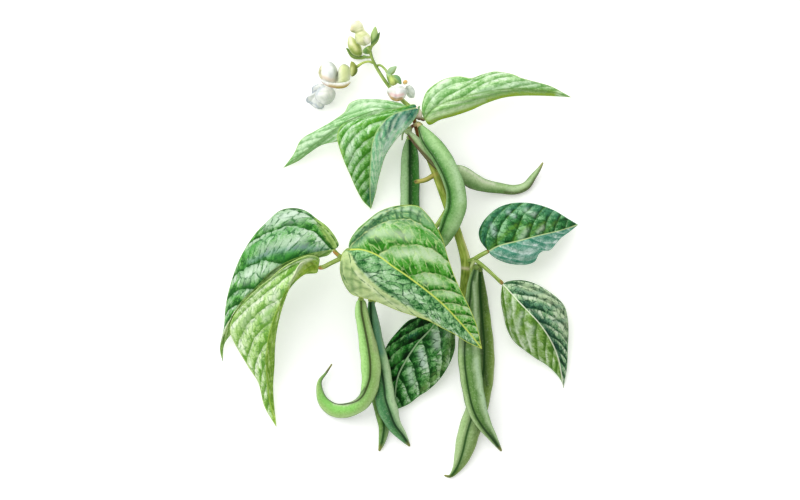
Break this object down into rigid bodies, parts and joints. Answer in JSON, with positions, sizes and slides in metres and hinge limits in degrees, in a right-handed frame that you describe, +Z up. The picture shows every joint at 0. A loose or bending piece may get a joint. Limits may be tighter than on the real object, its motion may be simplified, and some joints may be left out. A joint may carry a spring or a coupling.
{
  "type": "bush bean sprig",
  "caption": "Cut sprig of bush bean lying flat: stem, leaves of three pointed leaflets, clusters of slender green pods, and a stalk of white flowers and buds.",
  "frame": {"origin": "on the resting surface, under the middle of the sprig's outline box", "axes": "+Z up from the surface it lies on, +Y along the sprig towards the flower stalk, +X to the right seen from above with the flowers away from the viewer"},
  "size_m": [0.2154, 0.274, 0.0527],
  "materials": {
    "leaf_mid_green": "soft satin leaf with a raised net of veins",
    "leaf_light_green": "soft satin leaf, light yellow-green",
    "leaf_blue_green": "soft satin leaf, blue-green",
    "leaf_dark_green": "soft satin leaf, dark green",
    "pod_green": "satin pod skin",
    "pod_bright_green": "satin pod skin, bright green",
    "pod_dark_green": "satin pod skin, dark blue-green",
    "pod_olive": "satin pod skin, olive",
    "stem_olive": "matt stem skin",
    "stalk_green": "matt stalk skin",
    "petal_white": "soft matt petal",
    "petal_cream": "soft matt bud"
  },
  "bodies": {
    "root": {"main_stem": "stem_olive", "leaf_stalk_left": "stalk_green", "leaf_stalk_right": "stalk_green", "leaf_stalk_top": "stalk_green", "pod_stalk_upper": "stalk_green", "pod_stalk_left": "stalk_green", "pod_stalk_lower": "stalk_green", "flower_stalk": "stalk_green", "leaflet_top_back": "leaf_light_green", "leaflet_top_front": "leaf_mid_green", "leaflet_top_right": "leaf_light_green", "leaflet_left_back": "leaf_mid_green", "leaflet_left_front": "leaf_light_green", "leaflet_centre": "leaf_mid_green", "leaflet_right_upper": "leaf_blue_green", "leaflet_right_lower": "leaf_blue_green", "leaflet_low_centre": "leaf_dark_green", "pod_upper_thick": "pod_green", "pod_upper_curved": "pod_olive", "pod_upper_back": "pod_green", "pod_left_hooked": "pod_bright_green", "pod_left_middle": "pod_dark_green", "pod_left_back": "pod_olive", "pod_lower_front": "pod_green", "pod_lower_back": "pod_olive", "bud_top": "petal_cream", "bud_left": "petal_cream", "flower_open_keel": "petal_cream", "flower_half_keel": "petal_cream", "flower_open_standard": "petal_white", "flower_open_wing_front": "petal_white", "flower_open_wing_back": "petal_white", "flower_half_standard": "petal_white", "flower_half_wing": "petal_white"}
  },
  "joints": []
}
